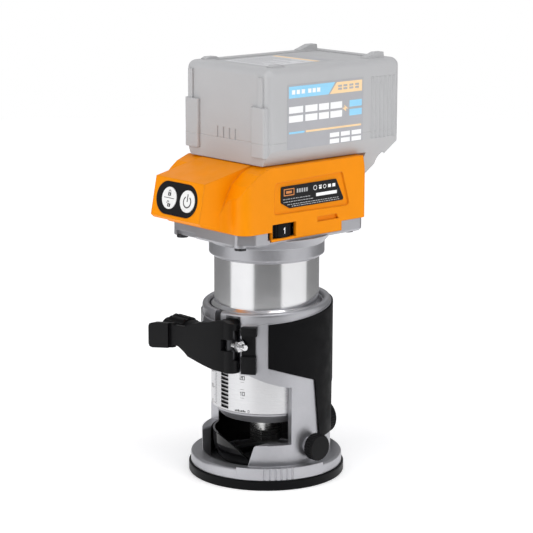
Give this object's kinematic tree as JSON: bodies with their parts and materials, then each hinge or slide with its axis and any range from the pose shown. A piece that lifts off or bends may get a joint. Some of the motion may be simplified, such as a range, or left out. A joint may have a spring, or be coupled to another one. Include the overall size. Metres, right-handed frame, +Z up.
{
  "type": "trim router",
  "caption": "Upright battery trim router: motor barrel in a split depth-adjusting base with cam lever, round foot, collet, control head and slide-on battery.",
  "frame": {"origin": "centre of the round cutter hole at the sole, the flat underside of the foot the tool stands on", "axes": "+Z up along the spindle to the battery, -Y the front with the rack, clamp lever and control panel, +X the side of the orange strip and the battery label, looking from the front at the right hand"},
  "size_m": [0.0991, 0.1508, 0.2606],
  "materials": {
    "cast_grey": "satin",
    "polished_aluminium": "polished",
    "steel": "turned",
    "black_steel": "black oxide",
    "black_plastic": "satin moulded",
    "grip_rubber": "matte moulded",
    "smoked_plastic": "gloss",
    "orange_plastic": "satin moulded",
    "panel_black": "satin film",
    "white_plastic": "satin",
    "pack_grey": "fine texture",
    "circuit_green": "satin",
    "copper": "satin",
    "magnet": "ground",
    "cell_wrap": "satin",
    "spring_steel": "bright"
  },
  "bodies": {
    "base": {"base_casting": "cast_grey", "sub_base": "black_plastic", "sub_base_screws": "black_steel", "right_grip": "grip_rubber", "left_grip": "grip_rubber", "chip_deflector": "smoked_plastic", "clamp_bolt": "steel", "clamp_nut": "steel", "nut_washer": "steel", "pivot_pin": "black_steel", "cam_guide": "black_plastic"},
    "clamp_lever": {"clamp_lever": "black_plastic"},
    "depth_adjuster": {"pinion": "steel", "depth_knob": "black_plastic"},
    "side_knob": {"side_knob": "black_plastic"},
    "rear_knob": {"rear_knob": "black_plastic"},
    "motor_unit": {"motor_barrel": "polished_aluminium", "end_bracket": "cast_grey", "lower_bearing": "steel", "upper_bearing": "steel", "stator_core": "steel", "stator_coils": "copper", "head_casting": "cast_grey", "head_screws": "black_steel", "head_housing": "orange_plastic", "control_panel": "panel_black", "switch_board": "circuit_green", "tact_switches": "panel_black", "speed_potentiometer": "panel_black", "rating_plate": "panel_black", "controller_board": "circuit_green", "board_components": "panel_black", "heat_sink": "polished_aluminium", "terminal_block": "black_plastic", "terminal_blades": "copper"},
    "spindle_unit": {"spindle": "steel", "rotor_magnets": "magnet", "cooling_fan": "black_plastic", "collet": "steel", "collet_nut": "steel"},
    "speed_dial": {"speed_dial": "black_plastic"},
    "lock_button": {"lock_button": "white_plastic"},
    "power_button": {"power_button": "white_plastic"},
    "battery": {"lower_case": "pack_grey", "upper_case": "pack_grey", "case_screws": "black_steel", "cells": "cell_wrap", "cell_holder": "black_plastic", "protection_board": "circuit_green", "pack_contacts": "copper", "latch_spring": "spring_steel"},
    "battery_latch": {"latch_button": "pack_grey"}
  },
  "joints": [
    {"name": "depth_slide", "type": "slide", "parent": "base", "child": "motor_unit", "axis": [0, 0, 1], "range_m": [-0.01, 0.035]},
    {"name": "depth_knob_turn", "type": "hinge", "parent": "base", "child": "depth_adjuster", "pos_m": [0, -0.04, 0.0892], "axis": [1, 0, 0], "range_deg": [-92, 316]},
    {"name": "clamp_lever_swing", "type": "hinge", "parent": "base", "child": "clamp_lever", "pos_m": [0.0126, -0.04, 0.0892], "axis": [0, 0, 1], "range_deg": [0, 70]},
    {"name": "side_knob_turn", "type": "hinge", "parent": "base", "child": "side_knob", "pos_m": [0.0433, 0, 0.024], "axis": [1, 0, 0], "continuous": true},
    {"name": "rear_knob_turn", "type": "hinge", "parent": "base", "child": "rear_knob", "pos_m": [0, 0.0433, 0.024], "axis": [0, 1, 0], "continuous": true},
    {"name": "spindle_spin", "type": "hinge", "parent": "motor_unit", "child": "spindle_unit", "pos_m": [0, 0, 0.05], "axis": [0, 0, 1], "continuous": true},
    {"name": "speed_dial_turn", "type": "hinge", "parent": "motor_unit", "child": "speed_dial", "pos_m": [0.0272, -0.0198, 0.1604], "axis": [0, 0, 1], "range_deg": [0, 270]},
    {"name": "lock_button_press", "type": "slide", "parent": "motor_unit", "child": "lock_button", "axis": [0, 0.9806, -0.1961], "range_m": [0, 0.0008], "stiffness_N_per_m": 800},
    {"name": "power_button_press", "type": "slide", "parent": "motor_unit", "child": "power_button", "axis": [0, 0.9806, -0.1961], "range_m": [0, 0.0008], "stiffness_N_per_m": 800},
    {"name": "battery_slide", "type": "slide", "parent": "motor_unit", "child": "battery", "axis": [0, 1, 0], "range_m": [0, 0.095]},
    {"name": "latch_press", "type": "slide", "parent": "battery", "child": "battery_latch", "axis": [0, -1, 0], "range_m": [0, 0.0024], "stiffness_N_per_m": 600}
  ],
  "couplings": [
    {"joint": "depth_knob_turn", "follows": "depth_slide", "rad_per_m": 156.25}
  ]
}
